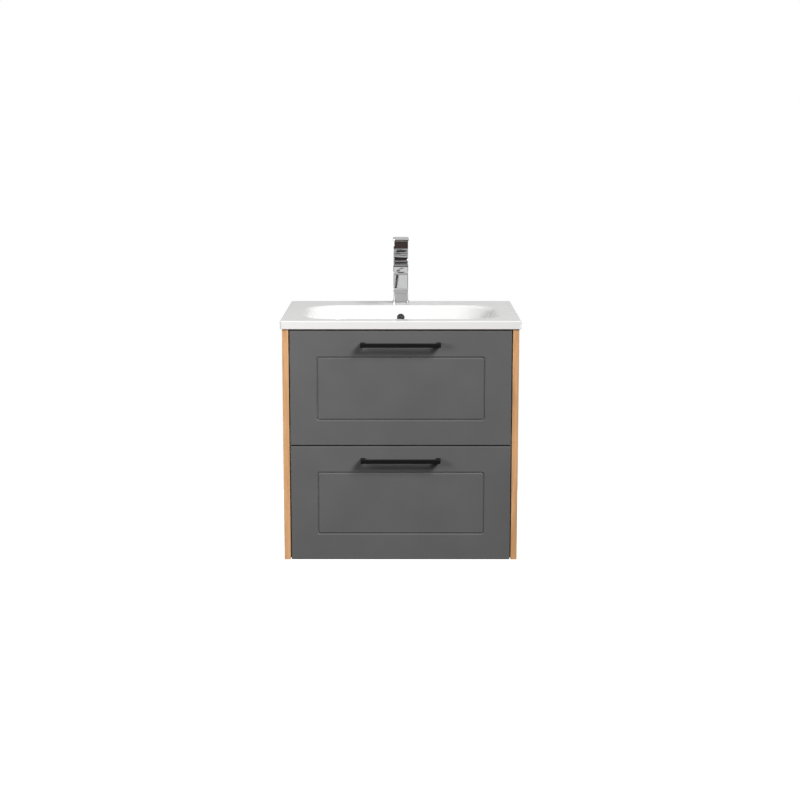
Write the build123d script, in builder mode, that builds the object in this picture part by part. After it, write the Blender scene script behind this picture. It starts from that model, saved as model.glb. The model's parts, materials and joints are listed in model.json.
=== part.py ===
"""Wall-hung bathroom vanity: two-drawer cabinet, one-piece washbasin, square lever tap and bottle trap.

Row frame: origin on the wall, on the centre line, at the centre of the wall bolts.
+X is to the right as seen from the front, +Y goes into the wall, +Z is up. Millimetres.
"""

import os
from math import cos, radians, sin, tan

from build123d import *

# ---------------------------------------------------------------- driving dimensions
CABINET_WIDTH = 600.0
CABINET_HEIGHT = 600.0
CABINET_DEPTH = 455.0           # wall to the face of the drawer fronts
CABINET_TOP = 60.0              # top edge of the side panels above the wall bolts
SIDE_THICK = 16.0               # side panels, bottom panel and back rails
RAIL_THICK = 12.0               # upright rail under the front of the basin
DRAWER_BOARD = 12.0

FRONT_THICK = 18.0
FRONT_SIDE_GAP = 2.5
FRONT_TOP_GAP = 4.0
FRONT_MIDDLE_GAP = 3.0
UPPER_FRONT_HEIGHT = 295.0
LOWER_FRONT_HEIGHT = 298.0
FRONT_EDGE_RADIUS = 1.8
GROOVE_INSET_X = 69.5           # groove centre line from the front's side edges
GROOVE_INSET_TOP = 69.0
GROOVE_HEIGHT = 160.0
GROOVE_RADIUS = 3.0             # half-round cutter
GROOVE_CORNER = 4.5

HANDLE_LENGTH = 203.0
HANDLE_BAR = 10.0
HANDLE_POST = 11.0
HANDLE_PROJECTION = 30.0
HANDLE_DROP = 34.5              # handle centre below the front's top edge
HANDLE_HOLES = 192.0

BASIN_WIDTH = 610.0
BASIN_DEPTH = 460.0
BASIN_RIM = 21.0
BASIN_EDGE = 3.5
BASIN_WALL = 9.0
BOWL_WIDTH = 496.0
BOWL_LENGTH = 307.0
BOWL_CORNER = 85.0
BOWL_FLOOR_CORNER = 73.0
BOWL_DEPTH = 118.0
BOWL_TAPER = 10.0               # slope of the front and rear walls, degrees from upright
BOWL_END_TAPER = 26.0           # slope of the end walls
BOWL_FILLET = 32.0
FRONT_RIM = 45.0
OVERFLOW_DROP = 33.0            # overflow centre below the basin's top
OVERFLOW_HOLE = 8.7

TAP_WIDTH = 40.0
TAP_DEPTH = 45.0
LEVER_WIDTH = 43.0
TAP_FROM_WALL = 42.0
TAP_PLINTH = 28.0               # heights above the basin's top
TAP_COLUMN = 148.0
TAP_BLOCK = 173.0
TAP_HEIGHT = 180.0
TAP_EDGE = 4.0
SPOUT_REACH = 110.0             # from the column's front face
SPOUT_TIP_TOP = 116.0
SPOUT_TIP_UNDER = 97.0
LEVER_OVERHANG = 26.0
LEVER_LIFT = 22.0               # degrees

RUNNER_LENGTH = 350.0
RUNNER_THICK = 12.7
RUNNER_STEEL = 1.2

WALL_BOLT_X = 450.0             # spacing of the wall bolts
WALL_BOLT_Z = 24.0
WALL_BOLT_RADIUS = 3.5

# ---------------------------------------------------------------- places worked out from them
CABINET_BOTTOM = CABINET_TOP - CABINET_HEIGHT
INNER_X = CABINET_WIDTH / 2 - SIDE_THICK
FRONT_FACE = -CABINET_DEPTH
FRONT_BACK = FRONT_FACE + FRONT_THICK
CARCASS_FRONT = FRONT_BACK + 2.0
FRONT_WIDTH = 2 * (INNER_X - FRONT_SIDE_GAP)
UPPER_FRONT_TOP = CABINET_TOP - FRONT_TOP_GAP
LOWER_FRONT_TOP = UPPER_FRONT_TOP - UPPER_FRONT_HEIGHT - FRONT_MIDDLE_GAP

BASIN_TOP = CABINET_TOP + BASIN_RIM
BOWL_Y = -BASIN_DEPTH + FRONT_RIM + BOWL_LENGTH / 2
BOWL_FLOOR = BASIN_TOP - BOWL_DEPTH

BACK_RAIL_FRONT = -36.0
BACK_RAIL_BACK = BACK_RAIL_FRONT + SIDE_THICK
UPPER_BACK_RAIL = (-100.0, -40.0)
LOWER_BACK_RAIL = (-420.0, -320.0)

BOX_X = INNER_X - RUNNER_THICK              # outer face of the drawer's sides
BOX_INNER_X = BOX_X - DRAWER_BOARD
BOX_BACK = FRONT_BACK + RUNNER_LENGTH
CUTOUT_X = 70.0                             # half width of the clearance for the trap
CUTOUT_FRONT = BOWL_Y - 70.0
DRAWERS = {                                 # name: (top of the front, height of the front, box bottom, box top)
    "upper": (UPPER_FRONT_TOP, UPPER_FRONT_HEIGHT, -222.0, -80.0),
    "lower": (LOWER_FRONT_TOP, LOWER_FRONT_HEIGHT, -500.0, -330.0),
}
RUNNER_Z = {"upper": -150.0, "lower": -415.0}
RUNNER_SCREWS = (-400.0, -260.0, -120.0)    # along Y
SIDES = {"left": -1, "right": 1}
INSIDE_X = (-BOX_INNER_X, BOX_INNER_X)
BACK_BOARD_Y = (BOX_BACK - DRAWER_BOARD, BOX_BACK)

CAM_RADIUS = 7.5
CAM_X = INNER_X - 34.0
BOTTOM_CAMS_Y = (-400.0, -60.0)
RAIL_CAMS_Z = (sum(UPPER_BACK_RAIL) / 2, sum(LOWER_BACK_RAIL) / 2)

PIN_Y = -30.0                               # lever pin
PIN_Z = BASIN_TOP + TAP_COLUMN + 7.0
TRAP_OUTLET_Z = -160.0

os.makedirs("parts", exist_ok=True)


def save(piece, name):
    """Label a finished piece and write it as one STEP file."""
    piece.part.label = name
    export_step(piece.part, f"parts/{name}.step")


def block(x, y, z):
    """A plain box between two X, two Y and two Z values, added to the part being built."""
    with BuildSketch(Plane.XY.offset(z[0])) as outline:
        with Locations(((x[0] + x[1]) / 2, (y[0] + y[1]) / 2)):
            Rectangle(x[1] - x[0], y[1] - y[0])
    extrude(outline.sketch, amount=z[1] - z[0])


def facing(side, x, y, z):
    """A plane at a point whose normal points to the left (side -1) or the right (side 1)."""
    return Plane(origin=(x, y, z), x_dir=(0, 1, 0), z_dir=(side, 0, 0))


def disc(plane, radius, depth, mode=Mode.ADD):
    """A round boss or hole that starts on a plane and goes along its normal."""
    with BuildSketch(plane) as outline:
        Circle(radius)
    extrude(outline.sketch, amount=depth, mode=mode)


def tube(plane, outer, inner, length):
    """A tube that starts on a plane and goes along its normal."""
    with BuildSketch(plane) as outline:
        Circle(outer)
        Circle(inner, mode=Mode.SUBTRACT)
    extrude(outline.sketch, amount=length)


# ---------------------------------------------------------------- carcass
def side_panel(side):
    """Melamine side panel with the blind holes for cam bolts and runner screws."""
    outer = side * CABINET_WIDTH / 2
    inner = side * INNER_X
    with BuildPart() as panel:
        block(sorted((outer, inner)), (-CABINET_DEPTH, 0), (CABINET_BOTTOM, CABINET_TOP))
        fillet(panel.edges().filter_by(Axis.Z).group_by(Axis.Y)[0], radius=0.8)
        for x, y, z in cam_places(side):
            disc(facing(side, inner, y, z), 3.5, 10.0, Mode.SUBTRACT)
        for z in RUNNER_Z.values():
            for y in RUNNER_SCREWS:
                disc(facing(side, inner, y, z), 1.8, 10.0, Mode.SUBTRACT)
    return panel


def cam_places(side):
    """Where the cam fasteners of one side sit: the bottom panel and both back rails."""
    middle = CABINET_BOTTOM + SIDE_THICK / 2
    rail_y = (BACK_RAIL_FRONT + BACK_RAIL_BACK) / 2
    places = [(side * CAM_X, y, middle) for y in BOTTOM_CAMS_Y]
    return places + [(side * CAM_X, rail_y, z) for z in RAIL_CAMS_Z]


def cam_plane(y, z, into_rail, side):
    """The face a cam is let into: the underside of the bottom panel or the front of a back rail."""
    if into_rail:
        return Plane(origin=(side * CAM_X, BACK_RAIL_FRONT, z), x_dir=(1, 0, 0), z_dir=(0, 1, 0))
    return Plane(origin=(side * CAM_X, y, CABINET_BOTTOM), x_dir=(1, 0, 0), z_dir=(0, 0, 1))


for word, side in SIDES.items():
    save(side_panel(side), f"side_panel_{word}")

with BuildPart() as bottom_panel:
    block((-INNER_X, INNER_X), (CARCASS_FRONT, BACK_RAIL_BACK), (CABINET_BOTTOM, CABINET_BOTTOM + SIDE_THICK))
    for side in SIDES.values():
        for y in BOTTOM_CAMS_Y:
            disc(cam_plane(y, 0, False, side), CAM_RADIUS, 12.5, Mode.SUBTRACT)
            disc(facing(-side, side * INNER_X, y, CABINET_BOTTOM + SIDE_THICK / 2), 4.0, 27.0, Mode.SUBTRACT)
save(bottom_panel, "bottom_panel")


def back_rail(z_span):
    """Upright board across the back, behind the drawers."""
    middle = sum(z_span) / 2
    with BuildPart() as rail:
        block((-INNER_X, INNER_X), (BACK_RAIL_FRONT, BACK_RAIL_BACK), z_span)
        for side in SIDES.values():
            disc(cam_plane(0, middle, True, side), CAM_RADIUS, 12.5, Mode.SUBTRACT)
            end = facing(-side, side * INNER_X, (BACK_RAIL_FRONT + BACK_RAIL_BACK) / 2, middle)
            disc(end, 4.0, 27.0, Mode.SUBTRACT)
    return rail


save(back_rail(UPPER_BACK_RAIL), "back_rail_upper")
save(back_rail(LOWER_BACK_RAIL), "back_rail_lower")

with BuildPart() as front_rail:
    block((-INNER_X, INNER_X), (CARCASS_FRONT, CARCASS_FRONT + RAIL_THICK), (-10.0, CABINET_TOP))
save(front_rail, "front_top_rail")

with BuildPart() as rail_brackets:
    # small steel angles that hold the front rail to the side panels
    rail_back = CARCASS_FRONT + RAIL_THICK
    for side in SIDES.values():
        inner = side * INNER_X
        block(sorted((inner, inner - side * 2.0)), (rail_back, rail_back + 30.0), (5.0, 35.0))
        block(sorted((inner - side * 2.0, inner - side * 14.0)), (rail_back, rail_back + 2.0), (5.0, 35.0))
save(rail_brackets, "front_rail_brackets")

with BuildPart() as cams:
    # cam housings with a cross recess, and the bolts that run from the side panels into them
    for side in SIDES.values():
        planes = [cam_plane(y, 0, False, side) for y in BOTTOM_CAMS_Y]
        planes += [cam_plane(0, z, True, side) for z in RAIL_CAMS_Z]
        for plane in planes:
            disc(plane, CAM_RADIUS - 0.1, 12.0)
            with BuildSketch(plane):
                Rectangle(9.0, 1.6)
                Rectangle(1.6, 9.0)
            extrude(amount=2.5, mode=Mode.SUBTRACT)
        for x, y, z in cam_places(side):
            disc(facing(-side, side * (INNER_X + 10.0), y, z), 3.5, 36.0)
save(cams, "cam_fasteners")

with BuildPart() as bumpers:
    for z in (5.0, CABINET_BOTTOM + SIDE_THICK / 2):
        for side in SIDES.values():
            place = Plane(origin=(side * 240.0, CARCASS_FRONT, z), x_dir=(1, 0, 0), z_dir=(0, -1, 0))
            disc(place, 4.0, 1.5)
    fillet(bumpers.faces().sort_by(Axis.Y)[0:4].edges(), radius=0.6)
save(bumpers, "drawer_bumpers")

# ---------------------------------------------------------------- wall fixing
with BuildPart() as wall_rail:
    with BuildSketch(Plane.YZ.offset(-268.0)) as rail_profile:
        with BuildLine():
            Polyline(
                (0, -24), (0, 14), (-4.2, 14), (-4.2, 34), (-6.2, 34),
                (-6.2, 12), (-2, 12), (-2, -24), close=True,
            )
        make_face()
    extrude(amount=536.0)
    with Locations(Plane(origin=(0, -2, 0), x_dir=(1, 0, 0), z_dir=(0, -1, 0))):
        with GridLocations(WALL_BOLT_X, WALL_BOLT_Z, 2, 2):
            Hole(WALL_BOLT_RADIUS)
save(wall_rail, "wall_rail")


with BuildPart() as hanger_bodies:
    # cabinet hangers, screwed to the side panels
    for side in SIDES.values():
        face_x = side * (INNER_X - 18.0)
        block(sorted((side * INNER_X, face_x)), (-56.0, -9.0), (-34.0, 40.0))
    fillet(hanger_bodies.edges().filter_by(Axis.X), radius=4.0)
    for side in SIDES.values():
        for z in (20.0, -4.0):
            disc(facing(side, side * (INNER_X - 18.0), -32.5, z), 3.5, 4.0, Mode.SUBTRACT)
save(hanger_bodies, "hanger_bodies")

with BuildPart() as hanger_hooks:
    # each hook drops behind the upper flange of the wall rail
    for side in SIDES.values():
        x_hook = sorted((side * (INNER_X - 5.0), side * (INNER_X - 17.0)))
        block(x_hook, (-9.0, -1.2), (35.4, 38.0))
        block(x_hook, (-3.6, -1.2), (20.0, 35.4))
save(hanger_hooks, "hanger_hooks")


# ---------------------------------------------------------------- drawers
def drawer_front(top, height):
    """MDF front with a milled groove, holes for the handle screws and for the box screws."""
    bottom = top - height
    groove_top = top - GROOVE_INSET_TOP
    groove_x = FRONT_WIDTH / 2 - GROOVE_INSET_X
    face = Plane(origin=(0, FRONT_FACE, 0), x_dir=(1, 0, 0), z_dir=(0, -1, 0))
    back = Plane(origin=(0, FRONT_BACK, 0), x_dir=(1, 0, 0), z_dir=(0, 1, 0))
    with BuildPart() as front:
        block((-FRONT_WIDTH / 2, FRONT_WIDTH / 2), (FRONT_FACE, FRONT_BACK), (bottom, top))
        fillet(front.faces().sort_by(Axis.Y)[0].edges(), radius=FRONT_EDGE_RADIUS)
        with BuildLine(face) as groove:
            Polyline(
                (-groove_x, groove_top), (groove_x, groove_top),
                (groove_x, groove_top - GROOVE_HEIGHT), (-groove_x, groove_top - GROOVE_HEIGHT), close=True,
            )
            fillet(groove.vertices(), radius=GROOVE_CORNER)
        start = groove.edges().sort_by(SortBy.LENGTH)[-1]
        with BuildSketch(Plane(origin=start @ 0.5, z_dir=start % 0.5)):
            Circle(GROOVE_RADIUS)
        sweep(path=groove.wire(), mode=Mode.SUBTRACT)
        handle_z = top - HANDLE_DROP
        with Locations(*[Location(back.shift_origin((x, FRONT_BACK, handle_z))) for x in handle_screw_x()]):
            CounterBoreHole(radius=2.1, counter_bore_radius=4.2, counter_bore_depth=3.0)
    return front


def handle_screw_x():
    return (-HANDLE_HOLES / 2, HANDLE_HOLES / 2)


def handle_bar(z):
    """Square bar of the handle."""
    outer = FRONT_FACE - HANDLE_PROJECTION
    with BuildPart() as bar:
        block(
            (-HANDLE_LENGTH / 2, HANDLE_LENGTH / 2),
            (outer, outer + HANDLE_BAR),
            (z - HANDLE_BAR / 2, z + HANDLE_BAR / 2),
        )
        fillet(bar.edges(), radius=1.0)
    return bar


def handle_posts(z):
    """The two posts that carry the bar, each with a blind threaded hole at its root."""
    outer = FRONT_FACE - HANDLE_PROJECTION + HANDLE_BAR
    with BuildPart() as posts:
        for x in handle_screw_x():
            block(
                (x - HANDLE_POST / 2, x + HANDLE_POST / 2),
                (outer, FRONT_FACE),
                (z - HANDLE_BAR / 2, z + HANDLE_BAR / 2),
            )
        fillet(posts.edges().filter_by(Axis.Y), radius=1.0)
        for x in handle_screw_x():
            root = Plane(origin=(x, FRONT_FACE, z), x_dir=(1, 0, 0), z_dir=(0, -1, 0))
            disc(root, 2.0, 12.0, Mode.SUBTRACT)
    return posts


def handle_screws(z):
    """Screws from the back of the front into the posts."""
    with BuildPart() as screws:
        for x in handle_screw_x():
            tip = Plane(origin=(x, FRONT_FACE - 10.0, z), x_dir=(1, 0, 0), z_dir=(0, 1, 0))
            disc(tip, 2.0, 10.0 + FRONT_THICK - 3.0)
            head = Plane(origin=(x, FRONT_BACK - 3.0, z), x_dir=(1, 0, 0), z_dir=(0, 1, 0))
            disc(head, 4.0, 2.4)
    return screws


def box_sides(bottom, top):
    with BuildPart() as boards:
        for side in SIDES.values():
            block(sorted((side * BOX_X, side * BOX_INNER_X)), (FRONT_BACK, BOX_BACK), (bottom, top))
        fillet(boards.edges().filter_by(Axis.Y).group_by(Axis.Z)[-1], radius=1.5)
    return boards


def upright_boards(spans, bottom, top):
    """Drawer boards that stand on the drawer's bottom, one for each (X span, Y span)."""
    with BuildPart() as boards:
        for x, y in spans:
            block(x, y, (bottom, top))
    return boards


for name, (top, height, bottom, box_top) in DRAWERS.items():
    handle_z = top - HANDLE_DROP
    floor_top = bottom + DRAWER_BOARD
    save(drawer_front(top, height), f"{name}_front")
    save(handle_bar(handle_z), f"{name}_handle_bar")
    save(handle_posts(handle_z), f"{name}_handle_posts")
    save(handle_screws(handle_z), f"{name}_handle_screws")
    save(box_sides(bottom, box_top), f"{name}_box_sides")
    box_front = (INSIDE_X, (FRONT_BACK, FRONT_BACK + DRAWER_BOARD))
    save(upright_boards([box_front], floor_top, box_top), f"{name}_box_front")

lower_bottom, lower_top = DRAWERS["lower"][2:]
save(upright_boards([(INSIDE_X, BACK_BOARD_Y)], lower_bottom + DRAWER_BOARD, lower_top), "lower_box_back")
with BuildPart() as lower_floor:
    block(INSIDE_X, (FRONT_BACK, BOX_BACK), (lower_bottom, lower_bottom + DRAWER_BOARD))
save(lower_floor, "lower_box_bottom")

# the upper box is cut out in a U around the bowl's waste and trap
upper_bottom, upper_top = DRAWERS["upper"][2:]
upper_floor_top = upper_bottom + DRAWER_BOARD
with BuildPart() as upper_floor:
    with BuildSketch(Plane.XY.offset(upper_bottom)):
        with Locations((0, (FRONT_BACK + BOX_BACK) / 2)):
            Rectangle(2 * BOX_INNER_X, BOX_BACK - FRONT_BACK)
        with Locations((0, (CUTOUT_FRONT + BOX_BACK) / 2)):
            Rectangle(2 * CUTOUT_X, BOX_BACK - CUTOUT_FRONT, mode=Mode.SUBTRACT)
    extrude(amount=DRAWER_BOARD)
save(upper_floor, "upper_box_bottom")
cutout_outer_x = CUTOUT_X + DRAWER_BOARD
backs = [(sorted((side * BOX_INNER_X, side * cutout_outer_x)), BACK_BOARD_Y) for side in SIDES.values()]
save(upright_boards(backs, upper_floor_top, upper_top), "upper_box_backs")
cutout_y = (CUTOUT_FRONT, BOX_BACK)
cutout_walls = [(sorted((side * CUTOUT_X, side * cutout_outer_x)), cutout_y) for side in SIDES.values()]
save(upright_boards(cutout_walls, upper_floor_top, upper_top), "upper_cutout_sides")
cutout_front = ((-cutout_outer_x, cutout_outer_x), (CUTOUT_FRONT - DRAWER_BOARD, CUTOUT_FRONT))
save(upright_boards([cutout_front], upper_floor_top, upper_top), "upper_cutout_front")


# ---------------------------------------------------------------- drawer runners
def channel(side, near, far, half_height, z, opens_inward):
    """A steel channel along Y. near and far are distances from the side panel's inner face."""
    with BuildSketch(Plane.XZ.offset(-FRONT_BACK - 2.0)) as outline:
        middle = side * (INNER_X - (near + far) / 2)
        with Locations((middle, z)):
            Rectangle(far - near, 2 * half_height)
        web = RUNNER_STEEL if opens_inward else -RUNNER_STEEL
        with Locations((middle - side * web, z)):
            Rectangle(far - near, 2 * (half_height - RUNNER_STEEL), mode=Mode.SUBTRACT)
    extrude(outline.sketch, amount=-(RUNNER_LENGTH - 2.0))


with BuildPart() as cabinet_members:
    for z in RUNNER_Z.values():
        for side in SIDES.values():
            channel(side, 0.0, 9.0, 22.5, z, True)
            for y in RUNNER_SCREWS:
                disc(facing(side, side * (INNER_X - RUNNER_STEEL), y, z), 1.8, RUNNER_STEEL, Mode.SUBTRACT)
save(cabinet_members, "runner_cabinet_members")

for name, z in RUNNER_Z.items():
    with BuildPart() as middle_members:
        for side in SIDES.values():
            channel(side, 2.6, 10.6, 17.0, z, True)
    save(middle_members, f"{name}_runner_middle_members")
    with BuildPart() as drawer_members:
        for side in SIDES.values():
            channel(side, 5.2, RUNNER_THICK, 11.0, z, False)
    save(drawer_members, f"{name}_runner_drawer_members")

with BuildPart() as runner_screws:
    for side in SIDES.values():
        for z in RUNNER_Z.values():
            for y in RUNNER_SCREWS:
                disc(facing(side, side * (INNER_X - RUNNER_STEEL), y, z), 1.8, 10.0)
                disc(facing(-side, side * (INNER_X - RUNNER_STEEL), y, z), 3.2, 0.8)
save(runner_screws, "runner_screws")

# ---------------------------------------------------------------- washbasin
wall_normal = (0, -cos(radians(BOWL_TAPER)), sin(radians(BOWL_TAPER)))
rear_wall_y = BOWL_Y + BOWL_LENGTH / 2 - OVERFLOW_DROP * tan(radians(BOWL_TAPER))
overflow_plane = Plane(
    origin=(0, rear_wall_y, BASIN_TOP - OVERFLOW_DROP), x_dir=(1, 0, 0), z_dir=wall_normal
)


def bowl_form(grow, depth, foot_radius):
    """The bowl's hollow as a solid, or the hollow grown by the wall: tapered, with a rounded foot."""
    top_size = (BOWL_WIDTH + 2 * grow, BOWL_LENGTH + 2 * grow)
    floor_size = (
        top_size[0] - 2 * depth * tan(radians(BOWL_END_TAPER)),
        top_size[1] - 2 * depth * tan(radians(BOWL_TAPER)),
    )
    with BuildPart() as form:
        with BuildSketch(Plane.XY.offset(BASIN_TOP)):
            with Locations((0, BOWL_Y)):
                RectangleRounded(*top_size, BOWL_CORNER + grow)
        with BuildSketch(Plane.XY.offset(BASIN_TOP - depth)):
            with Locations((0, BOWL_Y)):
                RectangleRounded(*floor_size, BOWL_FLOOR_CORNER + grow)
        loft(ruled=True)
        fillet(form.faces().sort_by(Axis.Z)[0].edges(), radius=foot_radius)
    return form


bowl_space = bowl_form(0.0, BOWL_DEPTH, BOWL_FILLET)
bowl_shell = bowl_form(BASIN_WALL, BOWL_DEPTH + BASIN_WALL, BOWL_FILLET + BASIN_WALL)

with BuildPart() as basin:
    add(bowl_shell.part)
    with BuildSketch(Plane.XY.offset(CABINET_TOP)):
        with Locations((0, -BASIN_DEPTH / 2)):
            RectangleRounded(BASIN_WIDTH, BASIN_DEPTH, BASIN_EDGE)
    extrude(amount=BASIN_RIM)
    # boss behind the rear wall around the overflow
    block((-24, 24), (rear_wall_y, rear_wall_y + 28.0), (BOWL_FLOOR + 40.0, CABINET_TOP))
    add(bowl_space.part, mode=Mode.SUBTRACT)
    fillet(basin.faces().sort_by(Axis.Z)[-1].outer_wire().edges(), radius=BASIN_EDGE - 0.3)
    fillet(basin.faces().sort_by(Axis.Z)[-1].inner_wires()[0].edges(), radius=5.0)
    disc(overflow_plane.offset(2.0), OVERFLOW_HOLE, -22.0, Mode.SUBTRACT)
    disc(Plane(origin=(0, BOWL_Y, BOWL_FLOOR - 3.0)), 32.5, 10.0, Mode.SUBTRACT)
    disc(Plane(origin=(0, BOWL_Y, BOWL_FLOOR - 20.0)), 22.0, 20.0, Mode.SUBTRACT)
    disc(Plane(origin=(0, -TAP_FROM_WALL, CABINET_TOP - 5.0)), 17.5, 40.0, Mode.SUBTRACT)
save(basin, "basin")

with BuildPart() as overflow_ring:
    tube(overflow_plane.offset(-12.0), OVERFLOW_HOLE - 0.2, 6.6, 12.0)
    tube(overflow_plane, 10.5, 6.6, 1.4)
    fillet(overflow_ring.faces().sort_by(Axis.Y)[0].outer_wire().edges(), radius=0.6)
save(overflow_ring, "overflow_ring")

# ---------------------------------------------------------------- waste and trap
drain = Plane(origin=(0, BOWL_Y, 0))
outlet_axis = Plane(origin=(0, BOWL_Y, TRAP_OUTLET_Z), x_dir=(1, 0, 0), z_dir=(0, 1, 0))
flange_bottom = BOWL_FLOOR - 3.0
basin_under = BOWL_FLOOR - BASIN_WALL

with BuildPart() as waste_body:
    tube(drain.offset(flange_bottom), 31.5, 16.5, 2.6)
    tube(drain.offset(-92.0), 19.5, 16.5, 92.0 + flange_bottom)
    with BuildSketch(drain.offset(-75.0)):
        Rectangle(2 * 17.0, 9.0)
        Circle(4.2, mode=Mode.SUBTRACT)
    extrude(amount=5.0)
save(waste_body, "waste_body")

with BuildPart() as waste_plug:
    disc(drain.offset(BOWL_FLOOR), 27.0, 6.5)
    fillet(waste_plug.faces().sort_by(Axis.Z)[-1].edges(), radius=4.5)
    disc(drain.offset(-82.0), 4.1, BOWL_FLOOR + 82.0)
save(waste_plug, "waste_plug")

with BuildPart() as waste_gasket:
    tube(drain.offset(basin_under - 3.0), 30.0, 19.7, 3.0)
save(waste_gasket, "waste_gasket")

with BuildPart() as waste_locknut:
    with BuildSketch(drain.offset(basin_under - 11.0)):
        RegularPolygon(29.0, 6)
        Circle(19.6, mode=Mode.SUBTRACT)
    extrude(amount=8.0)
save(waste_locknut, "waste_locknut")

with BuildPart() as tailpiece:
    tube(drain.offset(-206.0), 16.0, 14.6, 111.0)
    tube(drain.offset(-97.0), 19.0, 14.6, 4.8)
save(tailpiece, "trap_tailpiece")


def slip_nut(plane, outer, hole, length):
    """Ribbed plastic union nut."""
    with BuildPart() as nut:
        tube(plane, outer, hole, length)
        with BuildSketch(plane):
            with PolarLocations(outer + 0.6, 16):
                Circle(1.8)
        extrude(amount=length, mode=Mode.SUBTRACT)
    return nut


with BuildPart() as trap_body:
    tube(drain.offset(-190.0), 30.0, 27.0, 50.0)
    tube(drain.offset(-140.0), 30.0, 16.4, 3.0)
    tube(drain.offset(-137.0), 21.0, 16.4, 5.0)
    disc(outlet_axis.offset(28.0), 17.0, 18.0)
    disc(outlet_axis.offset(20.0), 14.0, 26.0, Mode.SUBTRACT)
save(trap_body, "trap_body")

with BuildPart() as trap_cup:
    tube(drain.offset(-240.0), 33.0, 30.2, 62.0)
    disc(drain.offset(-243.0), 33.0, 3.0)
    fillet(trap_cup.faces().sort_by(Axis.Z)[0].edges(), radius=2.5)
save(trap_cup, "trap_cup")

with BuildPart() as outlet_pipe:
    tube(outlet_axis.offset(46.5), 15.5, 13.5, 15.5)
    tube(outlet_axis.offset(62.0), 16.0, 13.5, -BOWL_Y - 62.0)
save(outlet_pipe, "trap_outlet_pipe")

top_nut = slip_nut(drain.offset(-106.0), 25.0, 19.8, 20.0)
inlet_nut = slip_nut(drain.offset(-132.0), 24.0, 16.4, 16.0)
outlet_nut = slip_nut(outlet_axis.offset(36.0), 23.0, 17.2, 25.0)
with BuildPart() as trap_nuts:
    add([top_nut.part, inlet_nut.part, outlet_nut.part])
save(trap_nuts, "trap_nuts")

# ---------------------------------------------------------------- tap
tap_rear = -TAP_FROM_WALL + TAP_DEPTH / 2
tap_front = tap_rear - TAP_DEPTH


def tap_section(z, height, grow=0.0):
    """The tap's rounded square section, extruded up from a height above the basin."""
    with BuildSketch(Plane.XY.offset(BASIN_TOP + z)) as outline:
        with Locations((0, -TAP_FROM_WALL)):
            RectangleRounded(TAP_WIDTH + grow, TAP_DEPTH + grow, TAP_EDGE + grow / 2)
    extrude(outline.sketch, amount=height)


with BuildPart() as base_plate:
    tap_section(0.0, 5.0, grow=7.0)
    fillet(base_plate.faces().sort_by(Axis.Z)[-1].edges(), radius=1.5)
    disc(Plane(origin=(0, -TAP_FROM_WALL, BASIN_TOP)), 14.2, 5.0, Mode.SUBTRACT)
save(base_plate, "tap_base_plate")

with BuildPart() as plinth:
    tap_section(5.0, TAP_PLINTH - 5.0)
    fillet(plinth.faces().sort_by(Axis.Z)[-1].edges(), radius=0.6)
save(plinth, "tap_plinth")

with BuildPart() as tap_body:
    tap_section(TAP_PLINTH, TAP_COLUMN - TAP_PLINTH)
    with BuildSketch(Plane.YZ.offset(-TAP_WIDTH / 2)):
        with BuildLine():
            tip = tap_front - SPOUT_REACH
            top = BASIN_TOP + TAP_COLUMN - 1.5
            Spline(
                (tap_front + 5.0, top), (tap_front - 14.0, top - 11.0), (tap_front - 48.0, top - 25.0),
                (tip, BASIN_TOP + SPOUT_TIP_TOP),
                tangents=((-1, -0.15), (-1, -0.04)),
            )
            Polyline(
                (tip, BASIN_TOP + SPOUT_TIP_TOP), (tip, BASIN_TOP + SPOUT_TIP_UNDER),
                (tap_front - 12.0, BASIN_TOP + SPOUT_TIP_UNDER - 4.0),
                (tap_front, BASIN_TOP + SPOUT_TIP_UNDER - 16.0),
                (tap_front + 5.0, BASIN_TOP + SPOUT_TIP_UNDER - 16.0),
                (tap_front + 5.0, top),
            )
        make_face()
    extrude(amount=TAP_WIDTH)
    disc(Plane(origin=(0, -TAP_FROM_WALL, BASIN_TOP + TAP_COLUMN)), 17.2, -34.0, Mode.SUBTRACT)
    aerator_plane = Plane(origin=(0, tip + 17.0, BASIN_TOP + SPOUT_TIP_UNDER - 1.0))
    disc(aerator_plane.offset(-5.0), 11.2, 11.0, Mode.SUBTRACT)
save(tap_body, "tap_body")

with BuildPart() as aerator:
    tube(aerator_plane.offset(-3.0), 11.0, 8.6, 8.0)
    fillet(aerator.faces().sort_by(Axis.Z)[0].outer_wire().edges(), radius=0.8)
save(aerator, "tap_aerator")

with BuildPart() as aerator_insert:
    disc(aerator_plane.offset(-1.5), 8.5, 5.0)
    with BuildSketch(aerator_plane.offset(-1.5)):
        with GridLocations(3.4, 3.4, 4, 4):
            Circle(0.9)
    extrude(amount=2.5, mode=Mode.SUBTRACT)
save(aerator_insert, "tap_aerator_insert")

with BuildPart() as tap_shank:
    disc(Plane(origin=(0, -TAP_FROM_WALL, BASIN_TOP - 55.0)), 14.0, 60.0)
    for x in (-6.0, 6.0):
        disc(Plane(origin=(x, -TAP_FROM_WALL, BASIN_TOP - 55.0)), 4.5, 30.0, Mode.SUBTRACT)
save(tap_shank, "tap_shank")

with BuildPart() as tap_washer:
    tube(Plane(origin=(0, -TAP_FROM_WALL, CABINET_TOP - 3.0)), 21.0, 14.2, 3.0)
save(tap_washer, "tap_washer")

with BuildPart() as tap_nut:
    with BuildSketch(Plane(origin=(0, -TAP_FROM_WALL, CABINET_TOP - 12.0))):
        RegularPolygon(20.0, 6)
        Circle(14.1, mode=Mode.SUBTRACT)
    extrude(amount=9.0)
save(tap_nut, "tap_nut")

with BuildPart() as cartridge:
    disc(Plane(origin=(0, -TAP_FROM_WALL, BASIN_TOP + TAP_COLUMN - 34.0)), 17.0, 28.0)
save(cartridge, "tap_cartridge")

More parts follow.
